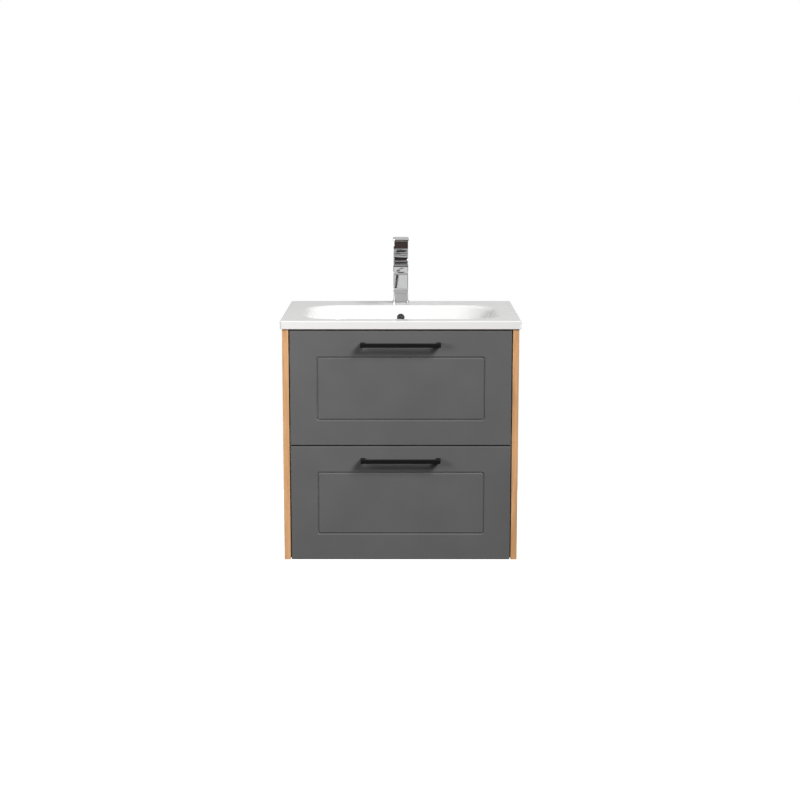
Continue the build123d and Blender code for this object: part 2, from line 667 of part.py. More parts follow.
with BuildPart() as stem:
    disc(Plane(origin=(0, -TAP_FROM_WALL, BASIN_TOP + TAP_COLUMN - 5.5)), 16.7, 5.0)
    with BuildSketch(Plane.YZ.offset(-4.0)):
        with Locations((PIN_Y, (PIN_Z + BASIN_TOP + TAP_COLUMN - 1.0) / 2)):
            Rectangle(6.0, PIN_Z - BASIN_TOP - TAP_COLUMN + 1.0)
        with Locations((PIN_Y, PIN_Z)):
            Circle(3.0)
            Circle(2.05, mode=Mode.SUBTRACT)
    extrude(amount=8.0)
save(stem, "tap_stem")

with BuildPart() as lever:
    tap_section(TAP_COLUMN + 1.0, TAP_HEIGHT - TAP_COLUMN - 1.0)
    with BuildSketch(Plane.XY.offset(BASIN_TOP + TAP_BLOCK)):
        with Locations((0, tap_rear - (TAP_DEPTH + LEVER_OVERHANG) / 2)):
            RectangleRounded(LEVER_WIDTH, TAP_DEPTH + LEVER_OVERHANG, TAP_EDGE)
    extrude(amount=TAP_HEIGHT - TAP_BLOCK)
    fillet(lever.faces().sort_by(Axis.Z)[-1].edges(), radius=1.2)
    # pocket around the stem, and the relief that lets the rear edge drop as the lever lifts
    under = BASIN_TOP + TAP_COLUMN + 1.0
    with BuildSketch(Plane.XY.offset(under)):
        with Locations((0, PIN_Y - 0.5)):
            Rectangle(14.0, 14.0)
    extrude(amount=12.0, mode=Mode.SUBTRACT)
    with BuildSketch(Plane.YZ.offset(-TAP_WIDTH)):
        with BuildLine():
            rise = (tap_rear + 1.0 - PIN_Y) * tan(radians(LEVER_LIFT + 2.0))
            Polyline((PIN_Y, under), (tap_rear + 1.0, under), (tap_rear + 1.0, under + rise), close=True)
        make_face()
    extrude(amount=2 * TAP_WIDTH, mode=Mode.SUBTRACT)
    disc(facing(1, -15.0, PIN_Y, PIN_Z), 2.0, 30.0, Mode.SUBTRACT)
save(lever, "tap_lever")

with BuildPart() as lever_pin:
    disc(facing(1, -14.5, PIN_Y, PIN_Z), 2.0, 29.0)
save(lever_pin, "tap_lever_pin")
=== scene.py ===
import json
import math

import bmesh
import bpy
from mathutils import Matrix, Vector


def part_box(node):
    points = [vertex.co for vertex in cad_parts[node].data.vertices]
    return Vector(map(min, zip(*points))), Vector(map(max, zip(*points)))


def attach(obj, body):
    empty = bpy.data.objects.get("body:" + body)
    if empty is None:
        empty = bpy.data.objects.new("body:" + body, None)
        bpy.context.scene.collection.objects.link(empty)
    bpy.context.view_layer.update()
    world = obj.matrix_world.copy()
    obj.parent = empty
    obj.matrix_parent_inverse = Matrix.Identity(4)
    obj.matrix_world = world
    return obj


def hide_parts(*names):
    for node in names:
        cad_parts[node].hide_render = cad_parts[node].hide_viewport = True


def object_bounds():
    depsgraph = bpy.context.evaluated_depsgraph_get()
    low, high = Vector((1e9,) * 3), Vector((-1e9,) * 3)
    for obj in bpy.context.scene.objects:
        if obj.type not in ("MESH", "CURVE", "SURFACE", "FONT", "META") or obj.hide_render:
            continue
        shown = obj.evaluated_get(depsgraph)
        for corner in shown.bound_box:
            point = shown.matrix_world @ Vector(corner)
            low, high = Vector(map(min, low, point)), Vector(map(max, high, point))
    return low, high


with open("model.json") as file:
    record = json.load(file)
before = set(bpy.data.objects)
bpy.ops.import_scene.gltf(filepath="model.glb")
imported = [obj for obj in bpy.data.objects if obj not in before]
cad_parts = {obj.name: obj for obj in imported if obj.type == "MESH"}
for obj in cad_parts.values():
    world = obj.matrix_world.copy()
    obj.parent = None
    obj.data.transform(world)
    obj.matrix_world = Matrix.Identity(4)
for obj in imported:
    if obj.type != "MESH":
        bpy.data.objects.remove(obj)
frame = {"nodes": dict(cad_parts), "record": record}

CAD_BOX = [list(corner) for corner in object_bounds()]

# ---------------------------------------------------------------- driving sizes, metres
BASIN_LOW, BASIN_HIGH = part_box("basin")
BASIN_TOP = BASIN_HIGH.z
BASIN_MIDDLE_Y = (BASIN_LOW.y + BASIN_HIGH.y) / 2
BASIN_EDGE = 0.0030
BASIN_CORNER = 0.0045
RIM_HEIGHT = 0.021
WALL_THICK = 0.009
FRONT_RIM = 0.045                   # basin's front edge to the bowl
BOWL_WIDTH = 0.492
BOWL_LENGTH = 0.307
BOWL_CORNER = 0.085
BOWL_FLOOR_CORNER = 0.073
BOWL_DEPTH = 0.118
BOWL_FILLET = 0.032
BOWL_Y = BASIN_LOW.y + FRONT_RIM + BOWL_LENGTH / 2
BOWL_FLOOR = BASIN_TOP - BOWL_DEPTH
END_SLOPE = math.radians(26.0)      # end walls, from upright
SIDE_SLOPE = math.radians(10.0)     # front and rear walls
END_LIP = 0.022                     # radius of the bowl's top edge at the ends
SIDE_LIP = 0.0045                   # and along the front and the rear
RECESS_RADIUS = 0.0325
RECESS_DEPTH = 0.003
WASTE_HOLE = 0.022
TAP_HOLE = 0.0175
OVERFLOW_DROP = 0.033
OVERFLOW_HOLE = 0.0087
FLAT_RADIUS = 0.060                 # round flat about the waste, on and under the bowl's floor
RECESS_EDGE = 0.0012
UNDER_EDGE = 0.0008                 # rounding of the rim's lower edge
UNDER_LIP = 0.006                   # width of the rim's underside
LEAST_CORNER = 0.0008               # corners seen from above stay at least this round
BOSS_HALF = 0.024                   # half width of the block behind the overflow
BOSS_DEPTH = (0.003, 0.028)         # front and back of the block, behind the bowl's rear wall
BOSS_FOOT = 0.040                   # bottom of the block above the bowl's floor
BOSS_OVERLAP = 0.004                # how far the block enters the rim
OVERFLOW_REACH = (0.004, 0.022)     # the overflow hole ahead of and behind the rear wall

BODY_LOW, BODY_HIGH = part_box("tap_body")
LEVER_LOW, LEVER_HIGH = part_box("tap_lever")
PLINTH_LOW, PLINTH_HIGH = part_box("tap_plinth")
TAP_X = BODY_HIGH.x
TAP_REAR = BODY_HIGH.y
TAP_FRONT = PLINTH_LOW.y
SPOUT_TIP_HIGH = BASIN_TOP + 0.116
SPOUT_TIP_LOW = BASIN_TOP + 0.097
LEVER_PLATE = 0.007
LEVER_WEDGE = math.radians(24.0)    # slope cut under the lever's rear
TAP_EDGE = 0.0019
LEAST_TAP_CORNER = 0.0005
CARTRIDGE_HOLE = 0.0168
CARTRIDGE_DEPTH = 0.034
AERATOR_HOLE = 0.0112
AERATOR_DEPTH = 0.005
AERATOR_INSET = 0.017               # aerator's centre behind the spout's tip
SHANK_HOLE = 0.0142                 # through the base plate
POCKET_HALF = 0.007                 # room for the stem inside the lever
POCKET_Y = (-0.0075, 0.0065)        # from the lever's pin
POCKET_Z = (-0.005, 0.012)          # from the lever's underside
OVERLAP = 0.001                     # how far touching parts of one casting run into each other
PAST = 0.01                         # how far a cutting tool runs past the surface


# ---------------------------------------------------------------- materials
class Graph:
    """Short names for the shader nodes of one material."""

    def __init__(self, name):
        self.material = bpy.data.materials.new(name)
        self.material.use_nodes = True
        self.nodes = self.material.node_tree.nodes
        self.links = self.material.node_tree.links
        self.nodes.clear()
        output = self.nodes.new("ShaderNodeOutputMaterial")
        self.shader = self.nodes.new("ShaderNodeBsdfPrincipled")
        self.links.new(self.shader.outputs["BSDF"], output.inputs["Surface"])
        self.place = self.nodes.new("ShaderNodeTexCoord").outputs["Object"]

    def feed(self, value, socket):
        """Links a socket to the output of a node, or gives it a plain value."""
        if isinstance(value, bpy.types.NodeSocket):
            self.links.new(value, socket)
        else:
            socket.default_value = value

    def set(self, **values):
        """Feeds the shader's inputs, named with underscores for spaces."""
        for key, value in values.items():
            self.feed(value, self.shader.inputs[key.replace("_", " ")])

    def stretch(self, x, y, z):
        """Object coordinates, scaled along each axis."""
        node = self.nodes.new("ShaderNodeMapping")
        node.inputs["Scale"].default_value = (x, y, z)
        self.links.new(self.place, node.inputs["Vector"])
        return node.outputs["Vector"]

    def noise(self, scale, detail=2.0, roughness=0.5, where=None, distortion=0.0):
        node = self.nodes.new("ShaderNodeTexNoise")
        node.inputs["Scale"].default_value = scale
        node.inputs["Detail"].default_value = detail
        node.inputs["Roughness"].default_value = roughness
        node.inputs["Distortion"].default_value = distortion
        self.links.new(where or self.place, node.inputs["Vector"])
        return node.outputs["Fac"]

    def ramp(self, factor, *stops):
        """Colour or grey along a factor; each stop is (position, grey) or (position, (r, g, b))."""
        node = self.nodes.new("ShaderNodeValToRGB")
        elements = node.color_ramp.elements
        while len(elements) < len(stops):
            elements.new(0.5)
        for element, (position, value) in zip(elements, stops):
            element.position = position
            colour = value if isinstance(value, tuple) else (value, value, value)
            element.color = (*colour, 1.0)
        self.links.new(factor, node.inputs["Fac"])
        return node.outputs["Color"]

    def blend(self, first, second, factor, kind="MIX"):
        node = self.nodes.new("ShaderNodeMix")
        node.data_type = "RGBA"
        node.blend_type = kind
        for value, position in ((factor, 0), (first, 6), (second, 7)):
            self.feed(value, node.inputs[position])
        return node.outputs[2]

    def bump(self, height, strength, distance):
        node = self.nodes.new("ShaderNodeBump")
        node.inputs["Strength"].default_value = strength
        node.inputs["Distance"].default_value = distance
        self.links.new(height, node.inputs["Height"])
        self.links.new(node.outputs["Normal"], self.shader.inputs["Normal"])


def wood_decor(name, along):
    """Oak-coloured melamine: long streaks, fine pores and a broad drift of tone along one axis."""
    g = Graph(name)

    def squeezed(amount):
        return g.stretch(*[amount if axis == along else 1.0 for axis in "xyz"])

    streak = g.noise(230.0, 5.0, 0.62, squeezed(0.045), 0.4)
    broad = g.noise(26.0, 3.0, 0.5, squeezed(0.16), 1.2)
    pores = g.noise(1100.0, 2.0, 0.5, squeezed(0.03))
    base = g.ramp(
        streak,
        (0.30, (0.53, 0.28, 0.122)), (0.52, (0.68, 0.385, 0.183)), (0.75, (0.77, 0.455, 0.228)),
    )
    drift = g.ramp(broad, (0.30, 0.88), (0.70, 1.08))
    toned = g.blend(base, drift, 1.0, "MULTIPLY")
    pore_mask = g.ramp(pores, (0.62, 0.0), (0.74, 0.50))
    g.set(
        Base_Color=g.blend(toned, (0.40, 0.20, 0.080, 1.0), pore_mask),
        Roughness=g.ramp(streak, (0.3, 0.50), (0.7, 0.40)),
    )
    g.bump(pores, 0.12, 0.0004)
    return g.material


def front_foil():
    """Matte grey foil: a very fine grain and slow drift of roughness."""
    g = Graph("front_grey")
    fine = g.noise(1600.0, 3.0, 0.6)
    slow = g.noise(9.0, 2.0, 0.5)
    g.set(
        Base_Color=g.blend(
            g.ramp(fine, (0.3, (0.109, 0.111, 0.112)), (0.7, (0.123, 0.125, 0.126))),
            g.ramp(slow, (0.3, 0.97), (0.7, 1.03)), 1.0, "MULTIPLY",
        ),
        Roughness=g.ramp(slow, (0.3, 0.46), (0.7, 0.54)),
    )
    g.bump(fine, 0.10, 0.0002)
    return g.material


def powder_coat():
    """Matte black powder coat with a fine pebbled skin."""
    g = Graph("handle_black")
    pebble = g.noise(2400.0, 2.0, 0.5)
    g.set(
        Base_Color=g.ramp(pebble, (0.3, 0.004), (0.7, 0.007)),
        Roughness=g.ramp(pebble, (0.3, 0.40), (0.7, 0.50)),
        Specular_IOR_Level=0.22,
    )
    g.bump(pebble, 0.25, 0.0002)
    return g.material


def painted_shade_chrome():
    """Chrome of the overflow ring with a darker base colour: painted shade and painted dark reflection
    of the overflow hole.
    """
    g = Graph("chrome_painted_shade")
    haze = g.noise(90.0, 4.0, 0.6)
    # painted shade: the base colour sits far below plain chrome, so the ring reads as dark as the
    # shaded hole it lines
    g.set(
        Base_Color=g.ramp(haze, (0.3, (0.15, 0.15, 0.155)), (0.7, (0.20, 0.20, 0.205))),
        Roughness=g.ramp(haze, (0.35, 0.12), (0.75, 0.20)),
        Metallic=1.0,
    )
    return g.material


def glazed_white():
    """White glaze: slow ripples of the glaze and a barely visible drift of tone."""
    g = Graph("ceramic_white")
    ripple = g.noise(35.0, 1.0, 0.4)
    drift = g.noise(6.0, 2.0, 0.5)
    g.set(
        Base_Color=g.ramp(drift, (0.3, (0.800, 0.803, 0.798)), (0.7, (0.818, 0.820, 0.814))),
        Roughness=g.ramp(ripple, (0.3, 0.13), (0.7, 0.19)),
    )
    g.bump(ripple, 0.03, 0.0008)
    return g.material


def chrome():
    """Polished chrome with the faint haze of use."""
    g = Graph("chrome")
    haze = g.noise(60.0, 4.0, 0.6)
    g.set(
        Base_Color=g.ramp(haze, (0.3, (0.80, 0.81, 0.82)), (0.7, (0.86, 0.865, 0.87))),
        Roughness=g.ramp(haze, (0.35, 0.015), (0.75, 0.030)),
        Metallic=1.0,
    )
    g.bump(haze, 0.010, 0.0003)
    return g.material


def zinc_steel():
    """Zinc-plated steel with a rolled grain along the strip and soft patches."""
    g = Graph("zinc_steel")
    rolled = g.noise(900.0, 3.0, 0.6, g.stretch(1.0, 0.03, 1.0))
    patches = g.noise(45.0, 3.0, 0.5)
    g.set(
        Base_Color=g.blend(
            g.ramp(rolled, (0.3, (0.52, 0.54, 0.56)), (0.7, (0.66, 0.675, 0.69))),
            g.ramp(patches, (0.3, 0.88), (0.7, 1.0)), 1.0, "MULTIPLY",
        ),
        Roughness=g.ramp(rolled, (0.3, 0.28), (0.7, 0.42)),
        Metallic=1.0,
    )
    g.bump(rolled, 0.06, 0.0002)
    return g.material


def box_melamine():
    """Light grey drawer board with a fine woven print."""
    g = Graph("box_grey")
    warp = g.noise(1400.0, 1.0, 0.5, g.stretch(1.0, 0.08, 1.0))
    weft = g.noise(1400.0, 1.0, 0.5, g.stretch(0.08, 1.0, 0.08))
    threads = g.blend(warp, weft, 0.5)
    g.set(
        Base_Color=g.ramp(threads, (0.35, (0.47, 0.47, 0.465)), (0.65, (0.58, 0.58, 0.572))),
        Roughness=g.ramp(threads, (0.3, 0.48), (0.7, 0.60)),
    )
    g.bump(threads, 0.10, 0.0002)
    return g.material


def brass():
    """Turned brass: fine rings left by the tool and a slight tarnish."""
    g = Graph("brass")
    rings = g.noise(1500.0, 1.0, 0.5, g.stretch(0.03, 0.03, 1.0))
    tarnish = g.noise(70.0, 3.0, 0.6)
    g.set(
        Base_Color=g.ramp(tarnish, (0.3, (0.50, 0.36, 0.16)), (0.7, (0.72, 0.54, 0.27))),
        Roughness=g.ramp(rings, (0.3, 0.22), (0.7, 0.36)),
        Metallic=1.0,
    )
    g.bump(rings, 0.08, 0.0002)
    return g.material


def moulded_plastic():
    """Off-white moulded plastic with a light spark-eroded texture."""
    g = Graph("white_plastic")
    texture = g.noise(900.0, 2.0, 0.5)
    g.set(
        Base_Color=g.ramp(texture, (0.3, (0.72, 0.72, 0.70)), (0.7, (0.79, 0.79, 0.77))),
        Roughness=g.ramp(texture, (0.3, 0.38), (0.7, 0.52)),
    )
    g.bump(texture, 0.08, 0.0002)
    return g.material


def black_rubber():
    """Dark rubber with a dusty bloom."""
    g = Graph("rubber_black")
    bloom = g.noise(220.0, 4.0, 0.6)
    g.set(
        Base_Color=g.ramp(bloom, (0.3, 0.018), (0.7, 0.040)),
        Roughness=g.ramp(bloom, (0.3, 0.62), (0.7, 0.80)),
    )
    g.bump(bloom, 0.10, 0.0002)
    return g.material


MATERIALS = {
    "wood_decor": wood_decor("wood_decor", "z"),
    "carcass_board": wood_decor("carcass_board", "x"),
    "front_grey": front_foil(),
    "handle_black": powder_coat(),
    "ceramic_white": glazed_white(),
    "chrome": chrome(),
    "zinc_steel": zinc_steel(),
    "box_grey": box_melamine(),
    "brass": brass(),
    "white_plastic": moulded_plastic(),
    "rubber_black": black_rubber(),
}
# painted shade: the overflow ring gets the darkened chrome in place of its slot's plain chrome
PAINTED_SHADE_FINISH = {"overflow_ring": painted_shade_chrome()}

for subpart in frame["record"]["subparts"]:
    node_name = subpart["node"]
    finish = PAINTED_SHADE_FINISH.get(node_name, MATERIALS[subpart["material_slot"]])
    cad_object = frame["nodes"][node_name]
    cad_object.data.materials.clear()
    cad_object.data.materials.append(finish)


# ---------------------------------------------------------------- mesh helpers
CORNER_STEPS = 12
HOLE_SIDES = 48
SHARP = math.radians(38.0)          # an edge that turns by more than this is drawn sharp


def rounded_ring(half_x, half_y, radius, middle_y, height):
    """A rounded rectangle, anticlockwise from above.

    height is a number, or a function of the corner angle.
    """
    points = []
    for quarter in range(4):
        across = 1 if quarter in (0, 3) else -1
        along = 1 if quarter < 2 else -1
        for step in range(CORNER_STEPS + 1):
            angle = (quarter + step / CORNER_STEPS) * math.pi / 2
            x = across * (half_x - radius) + radius * math.cos(angle)
            y = middle_y + along * (half_y - radius) + radius * math.sin(angle)
            points.append((x, y, height(angle) if callable(height) else height))
    return points


def loft(name, rings, close_first=False, close_last=False, joined=False):
    """A mesh of quads from ring to ring, capped or joined end to start."""
    count = len(rings[0])
    vertices = [point for ring in rings for point in ring]
    pairs = list(zip(range(len(rings) - 1), range(1, len(rings))))
    if joined:
        pairs.append((len(rings) - 1, 0))
    faces = []
    for low, high in pairs:
        for i in range(count):
            j = (i + 1) % count
            faces.append((low * count + i, low * count + j, high * count + j, high * count + i))
    if close_first:
        faces.append(tuple(reversed(range(count))))
    if close_last:
        faces.append(tuple((len(rings) - 1) * count + i for i in range(count)))
    return new_object(name, vertices, faces)


def new_object(name, vertices, faces):
    mesh = bpy.data.meshes.new(name)
    mesh.from_pydata(vertices, [], faces)
    edit = bmesh.new()
    edit.from_mesh(mesh)
    bmesh.ops.recalc_face_normals(edit, faces=edit.faces)
    edit.to_mesh(mesh)
    edit.free()
    made = bpy.data.objects.new(name, mesh)
    bpy.context.scene.collection.objects.link(made)
    return made


def prism(name, outline, ends, axis="x"):
    """A closed outline carried between two ends: (y, z) points along x, or (x, y) points along z."""
    count = len(outline)
    if axis == "x":
        vertices = [(end, *point) for end in ends for point in outline]
    else:
        vertices = [(*point, end) for end in ends for point in outline]
    faces = [tuple(range(count)), tuple(range(2 * count - 1, count - 1, -1))]
    faces += [(i, (i + 1) % count, count + (i + 1) % count, count + i) for i in range(count)]
    return new_object(name, vertices, faces)


def box_mesh(name, low, high):
    outline = [(low[1], low[2]), (high[1], low[2]), (high[1], high[2]), (low[1], high[2])]
    return prism(name, outline, (low[0], high[0]))


def apply_modifiers(piece):
    graph = bpy.context.evaluated_depsgraph_get()
    result = bpy.data.meshes.new_from_object(piece.evaluated_get(graph))
    piece.modifiers.clear()
    piece.data = result


def combine(target, tool, operation):
    """Cuts the tool from the target, or joins it on, and takes the tool away."""
    change = target.modifiers.new(operation.lower(), "BOOLEAN")
    change.object = tool
    change.operation = operation
    change.solver = "EXACT"
    apply_modifiers(target)
    bpy.data.objects.remove(tool)


def drill(piece, start, end, radius):
    """Cuts a round hole from one point to another."""
    turn = (Vector(end) - Vector(start)).to_track_quat("Z", "Y")
    rings = []
    for middle in (Vector(start), Vector(end)):
        ring = []
        for i in range(HOLE_SIDES):
            angle = 2 * math.pi * i / HOLE_SIDES
            spoke = Vector((radius * math.cos(angle), radius * math.sin(angle), 0))
            ring.append(tuple(middle + turn @ spoke))
        rings.append(ring)
    combine(piece, loft("cut", rings, True, True), "DIFFERENCE")


def round_edges(piece, radius, segments):
    """Rounds every edge that turns by more than SHARP."""
    rounding = piece.modifiers.new("edges", "BEVEL")
    rounding.width = radius
    rounding.segments = segments
    rounding.limit_method = "ANGLE"
    rounding.angle_limit = SHARP
    apply_modifiers(piece)


def finish_piece(piece, body, slot, replaced):
    """Smooths the shading, gives the piece its material, hangs it on its body and hides the CAD parts
    that it replaces.
    """
    piece.data.shade_smooth()
    piece.data.set_sharp_from_angle(angle=SHARP)
    shading = piece.modifiers.new("shading", "WEIGHTED_NORMAL")
    shading.keep_sharp = True
    piece.data.materials.clear()
    piece.data.materials.append(MATERIALS[slot])
    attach(piece, body)
    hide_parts(*replaced)


# ---------------------------------------------------------------- washbasin
def arc(steps, whole):
    """Evenly spaced angles from 0 to whole, both ends included."""
    return [whole * i / steps for i in range(steps + 1)]


def bowl_ring(end_point, side_point, radius):
    """A ring of the bowl from its (half size, height) at the ends and at the front and rear."""
    def height(angle):
        share = math.cos(angle) ** 2
        return share * end_point[1] + (1 - share) * side_point[1]
    return rounded_ring(end_point[0], side_point[0], radius, BOWL_Y, height)


def bowl_profile(grow, depth, fillet, lips):
    """(half size, height) from the lip to the floor, along the end wall and along the side walls."""
    profiles = []
    walls = ((BOWL_WIDTH / 2, END_SLOPE, lips[0]), (BOWL_LENGTH / 2, SIDE_SLOPE, lips[1]))
    for half, slope, lip in walls:
        turn = math.pi / 2 - slope
        half += grow
        points = []
        if lip:
            run = lip * math.tan(turn / 2)
            points += [
                (half + run - lip * math.sin(a), BASIN_TOP - lip + lip * math.cos(a))
                for a in arc(6, turn)
            ]
        foot = half - depth * math.tan(slope)
        run = fillet * math.tan(turn / 2)
        floor = BASIN_TOP - depth
        points += [
            (foot - run + fillet * math.sin(turn - a), floor + fillet - fillet * math.cos(turn - a))
            for a in arc(9, turn)
        ]
        profiles.append(points)
    return list(zip(*profiles))


def circle_ring(radius, height):
    return rounded_ring(radius, radius, radius, BOWL_Y, height)


def bowl_rings(points, grow):
    """The rings of a bowl profile, whose corners tighten from the mouth to the floor."""
    rings = []
    for end_point, side_point in points:
        depth = min(1.0, (BASIN_TOP - side_point[1]) / BOWL_DEPTH)
        radius = BOWL_CORNER + (BOWL_FLOOR_CORNER - BOWL_CORNER) * depth + grow
        rings.append(bowl_ring(end_point, side_point, radius))
    return rings


def rim_ring(inset, height):
    """A ring of the basin's outer edge."""
    half_x = (BASIN_HIGH.x - BASIN_LOW.x) / 2 - inset
    half_y = (BASIN_HIGH.y - BASIN_LOW.y) / 2 - inset
    return rounded_ring(half_x, half_y, max(BASIN_CORNER - inset, LEAST_CORNER), BASIN_MIDDLE_Y, height)


inner = bowl_profile(0.0, BOWL_DEPTH, BOWL_FILLET, (END_LIP, SIDE_LIP))
outer = bowl_profile(WALL_THICK, BOWL_DEPTH + WALL_THICK, BOWL_FILLET + WALL_THICK, (0.0, 0.0))
outer_corner = BOWL_CORNER + WALL_THICK
outer_half_x = BOWL_WIDTH / 2 + WALL_THICK - RIM_HEIGHT * math.tan(END_SLOPE)
outer_half_y = BOWL_LENGTH / 2 + WALL_THICK - RIM_HEIGHT * math.tan(SIDE_SLOPE)
rim_bottom = BASIN_TOP - RIM_HEIGHT
recess_floor = BOWL_FLOOR - RECESS_DEPTH
floor_under = BOWL_FLOOR - WALL_THICK

basin_rings = [
    rim_ring(UNDER_LIP, rim_bottom),
    rim_ring(UNDER_EDGE, rim_bottom),
    rim_ring(0.0, rim_bottom + UNDER_EDGE),
]
basin_rings += [
    rim_ring(BASIN_EDGE * (1 - math.cos(a)), BASIN_TOP - BASIN_EDGE * (1 - math.sin(a)))
    for a in arc(6, math.pi / 2)
]
basin_rings += bowl_rings(inner, 0.0)
basin_rings += [
    circle_ring(FLAT_RADIUS, BOWL_FLOOR),
    circle_ring(RECESS_RADIUS + RECESS_EDGE, BOWL_FLOOR),
    circle_ring(RECESS_RADIUS, BOWL_FLOOR - RECESS_EDGE),
    circle_ring(RECESS_RADIUS, recess_floor),
    circle_ring(WASTE_HOLE, recess_floor),
    circle_ring(WASTE_HOLE, floor_under),
    circle_ring(FLAT_RADIUS, floor_under),
]
basin_rings += reversed(bowl_rings(outer, WALL_THICK))
basin_rings.append(rounded_ring(outer_half_x, outer_half_y, outer_corner, BOWL_Y, rim_bottom))
basin = loft("washbasin", basin_rings, joined=True)

rear_wall_y = BOWL_Y + BOWL_LENGTH / 2 - OVERFLOW_DROP * math.tan(SIDE_SLOPE)
boss = box_mesh(
    "boss",
    (-BOSS_HALF, rear_wall_y + BOSS_DEPTH[0], BOWL_FLOOR + BOSS_FOOT),
    (BOSS_HALF, rear_wall_y + BOSS_DEPTH[1], rim_bottom + BOSS_OVERLAP),
)
combine(basin, boss, "UNION")
into_wall = Vector((0, math.cos(SIDE_SLOPE), -math.sin(SIDE_SLOPE)))
overflow_mouth = Vector((0, rear_wall_y, BASIN_TOP - OVERFLOW_DROP))
overflow_start = overflow_mouth - OVERFLOW_REACH[0] * into_wall
overflow_end = overflow_mouth + OVERFLOW_REACH[1] * into_wall
drill(basin, overflow_start, overflow_end, OVERFLOW_HOLE)
tap_y = (TAP_REAR + TAP_FRONT) / 2
drill(basin, (0, tap_y, rim_bottom - PAST), (0, tap_y, BASIN_TOP + PAST), TAP_HOLE)
finish_piece(basin, "root", "ceramic_white", ["basin"])


# ---------------------------------------------------------------- tap
def curve(points, steps):
    """Points along the cubic Bezier curve of four control points."""
    drawn = []
    for i in range(steps + 1):
        t = i / steps
        weights = ((1 - t) ** 3, 3 * t * (1 - t) ** 2, 3 * t * t * (1 - t), t ** 3)
        drawn.append(tuple(sum(w * p[k] for w, p in zip(weights, points)) for k in (0, 1)))
    return drawn


spout_tip_y = BODY_LOW.y
spout_root = BODY_HIGH.z - 0.0015
body_outline = [(TAP_REAR, BODY_LOW.z), (TAP_REAR, BODY_HIGH.z), (TAP_FRONT, BODY_HIGH.z)]
body_outline += curve([
    (TAP_FRONT - 0.0005, spout_root), (TAP_FRONT - 0.022, spout_root - 0.021),
    (TAP_FRONT - 0.050, SPOUT_TIP_HIGH + 0.001), (spout_tip_y, SPOUT_TIP_HIGH),
], 20)
body_outline += [(spout_tip_y, SPOUT_TIP_LOW)]
body_outline += curve([
    (TAP_FRONT - 0.014, SPOUT_TIP_LOW - 0.004), (TAP_FRONT - 0.004, SPOUT_TIP_LOW - 0.005),
    (TAP_FRONT, SPOUT_TIP_LOW - 0.009), (TAP_FRONT, SPOUT_TIP_LOW - 0.018),
], 8)
body_outline += [(TAP_FRONT, BODY_LOW.z)]
tap_body = prism("tap_body_cast", body_outline, (-TAP_X, TAP_X))
round_edges(tap_body, TAP_EDGE, 5)
drill(
    tap_body,
    (0, tap_y, BODY_HIGH.z - CARTRIDGE_DEPTH), (0, tap_y, BODY_HIGH.z + PAST), CARTRIDGE_HOLE,
)
aerator_y = spout_tip_y + AERATOR_INSET
drill(
    tap_body,
    (0, aerator_y, SPOUT_TIP_LOW - PAST), (0, aerator_y, SPOUT_TIP_LOW + AERATOR_DEPTH), AERATOR_HOLE,
)
finish_piece(tap_body, "root", "chrome", ["tap_body"])


def soft_block(name, low, high, corner, top_edge, bottom_edge):
    """An upright block, centred on x = 0, with rounded corners and rounded top and bottom edges."""
    half_y = (high[1] - low[1]) / 2
    middle = (high[1] + low[1]) / 2
    levels = [
        (bottom_edge * (1 - math.sin(a)), low[2] + bottom_edge * (1 - math.cos(a)))
        for a in arc(4, math.pi / 2)
    ]
    levels += [
        (top_edge * (1 - math.cos(a)), high[2] - top_edge * (1 - math.sin(a)))
        for a in arc(5, math.pi / 2)
    ]
    rings = [
        rounded_ring(high[0] - inset, half_y - inset, max(corner - inset, LEAST_TAP_CORNER), middle, z)
        for inset, z in levels
    ]
    return loft(name, rings, True, True)


BASE_LOW, BASE_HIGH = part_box("tap_base_plate")
base_plate = soft_block(
    "tap_base_flange", BASE_LOW, BASE_HIGH, corner=0.0075, top_edge=0.0018, bottom_edge=0.0004,
)
drill(base_plate, (0, tap_y, BASE_LOW.z - PAST), (0, tap_y, BASE_HIGH.z + PAST), SHANK_HOLE)
finish_piece(base_plate, "root", "chrome", ["tap_base_plate"])
plinth = soft_block(
    "tap_plinth_cast", PLINTH_LOW, PLINTH_HIGH, corner=0.004, top_edge=0.0011, bottom_edge=0.0005,
)
finish_piece(plinth, "root", "chrome", ["tap_plinth"])

joints = {joint["name"]: joint for joint in frame["record"]["behaviour"]["joints"]}
pin_y = joints["tap_lift"]["pos_m"][1]
plate_low = LEVER_HIGH.z - LEVER_PLATE
block_top = plate_low + OVERLAP
rise = (TAP_REAR + OVERLAP - pin_y) * math.tan(LEVER_WEDGE)
block_outline = [
    (TAP_FRONT, LEVER_LOW.z), (pin_y, LEVER_LOW.z), (TAP_REAR, LEVER_LOW.z + rise),
    (TAP_REAR, block_top), (TAP_FRONT, block_top),
]
lever_block = prism("tap_lever_block", block_outline, (-TAP_X, TAP_X))
round_edges(lever_block, TAP_EDGE, 5)
pocket = box_mesh(
    "pocket",
    (-POCKET_HALF, pin_y + POCKET_Y[0], LEVER_LOW.z + POCKET_Z[0]),
    (POCKET_HALF, pin_y + POCKET_Y[1], LEVER_LOW.z + POCKET_Z[1]),
)
combine(lever_block, pocket, "DIFFERENCE")
finish_piece(lever_block, "tap_lever", "chrome", ["tap_lever"])
lever_plate = soft_block(
    "tap_lever_plate", (LEVER_LOW.x, LEVER_LOW.y, plate_low), LEVER_HIGH,
    corner=0.0045, top_edge=0.0016, bottom_edge=0.0008,
)
finish_piece(lever_plate, "tap_lever", "chrome", ["tap_lever"])

# ---------------------------------------------------------------- handles
POST_WIDTH = 0.011
HANDLE_EDGE = 0.0011

